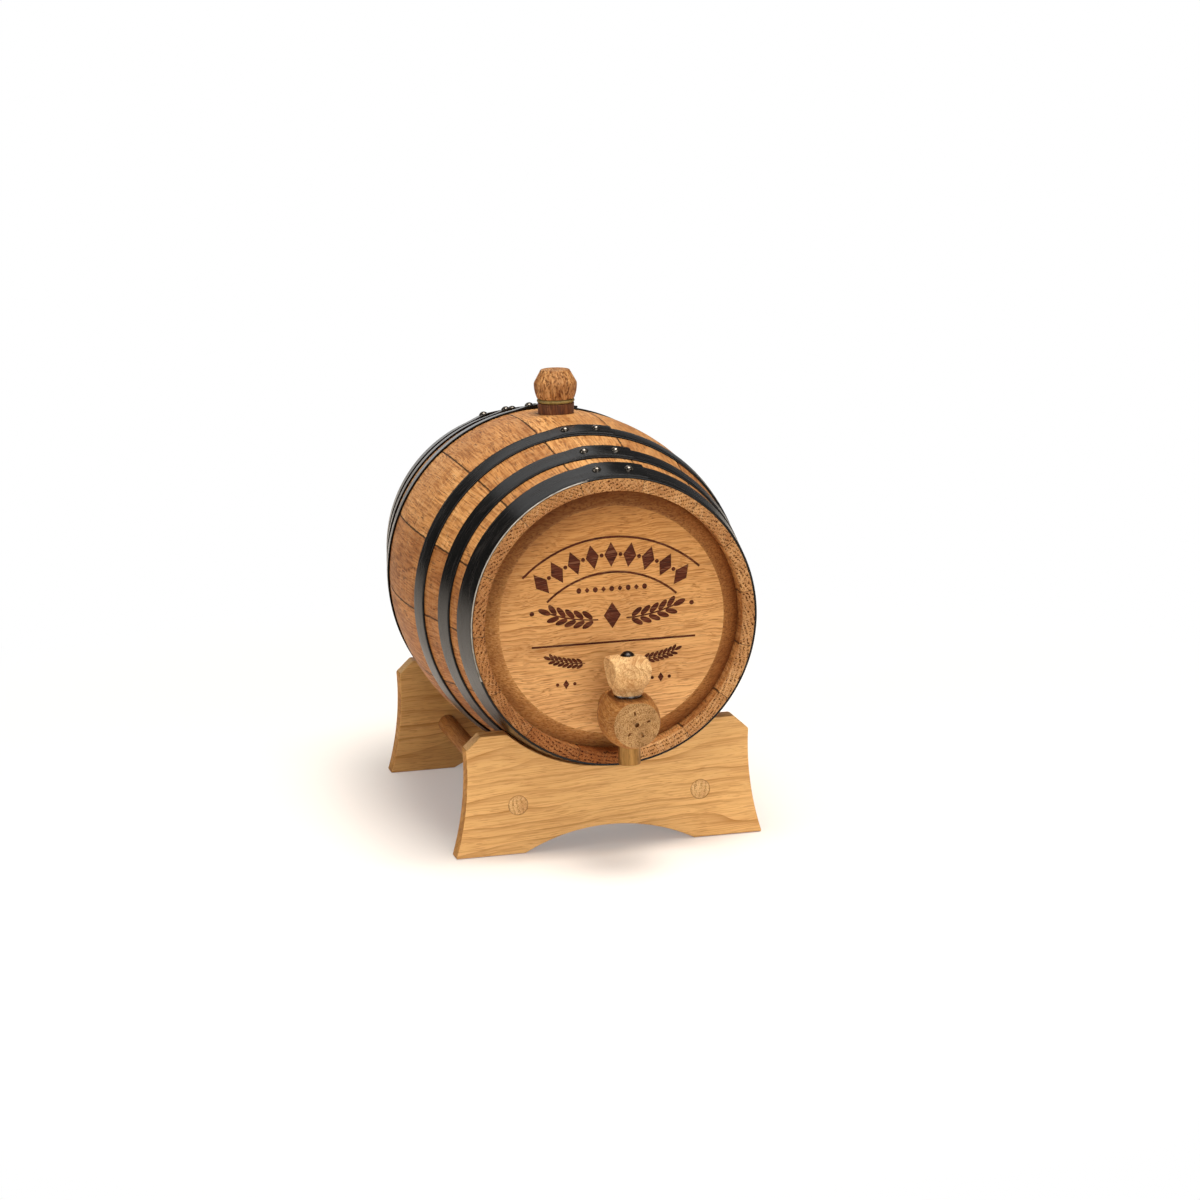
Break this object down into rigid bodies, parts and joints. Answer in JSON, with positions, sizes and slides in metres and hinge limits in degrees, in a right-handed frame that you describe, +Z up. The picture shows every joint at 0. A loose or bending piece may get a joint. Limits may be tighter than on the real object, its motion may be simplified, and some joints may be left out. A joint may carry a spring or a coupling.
{
  "type": "oak cask liquor dispenser",
  "caption": "Small oak cask lying in a dowelled cradle stand, with black iron hoops, a turned bung and a wooden tap whose key turns a brass spout.",
  "frame": {"origin": "on the table, under the middle of the whole object's box", "axes": "+Z up, -Y towards the tap end, along the cask's axis, +X to the right as seen from the tap end"},
  "size_m": [0.159, 0.2346, 0.2085],
  "materials": {
    "oak_stave": "planed and oiled oak",
    "oak_head": "sanded oak, satin",
    "hoop_iron": "black japanned hoop iron, semi-gloss",
    "rivet_iron": "black domed rivets, semi-gloss",
    "turned_wood": "turned wood, bare",
    "seal_ring": "olive seal ring",
    "cork": "cork",
    "brass": "drawn tube, slightly tarnished",
    "steel": "plain steel washer",
    "dark_steel": "blued steel screw",
    "stand_wood": "sanded pale wood, satin",
    "dowel_wood": "bare dowel"
  },
  "bodies": {
    "stand": {"stand_front_board": "stand_wood", "stand_rear_board": "stand_wood", "stand_left_dowel": "dowel_wood", "stand_right_dowel": "dowel_wood"},
    "cask": {"stave_01": "oak_stave", "stave_02": "oak_stave", "stave_03": "oak_stave", "stave_04": "oak_stave", "stave_05": "oak_stave", "stave_06": "oak_stave", "stave_07": "oak_stave", "stave_08": "oak_stave", "stave_09": "oak_stave", "stave_10": "oak_stave", "stave_11": "oak_stave", "stave_12": "oak_stave", "stave_13": "oak_stave", "stave_14": "oak_stave", "stave_15": "oak_stave", "front_head": "oak_head", "rear_head": "oak_head", "hoop_front_end": "hoop_iron", "hoop_front_quarter": "hoop_iron", "hoop_front_bilge": "hoop_iron", "hoop_rear_bilge": "hoop_iron", "hoop_rear_quarter": "hoop_iron", "hoop_rear_end": "hoop_iron", "hoop_rivets": "rivet_iron", "tap_body": "turned_wood", "tap_cork": "cork"},
    "bung": {"bung": "turned_wood", "bung_ring": "seal_ring"},
    "key": {"key_stem": "brass", "key_washer": "steel", "key_handle": "turned_wood", "key_screw": "dark_steel"}
  },
  "joints": [
    {"name": "cask_lift", "type": "slide", "parent": "stand", "child": "cask", "axis": [0, 0, 1], "range_m": [0, 0.06]},
    {"name": "bung_pull", "type": "slide", "parent": "cask", "child": "bung", "axis": [0, 0, 1], "range_m": [0, 0.04]},
    {"name": "key_turn", "type": "hinge", "parent": "cask", "child": "key", "pos_m": [0, -0.10275, 0.0695], "axis": [0, 0, 1], "range_deg": [0, 90]}
  ]
}
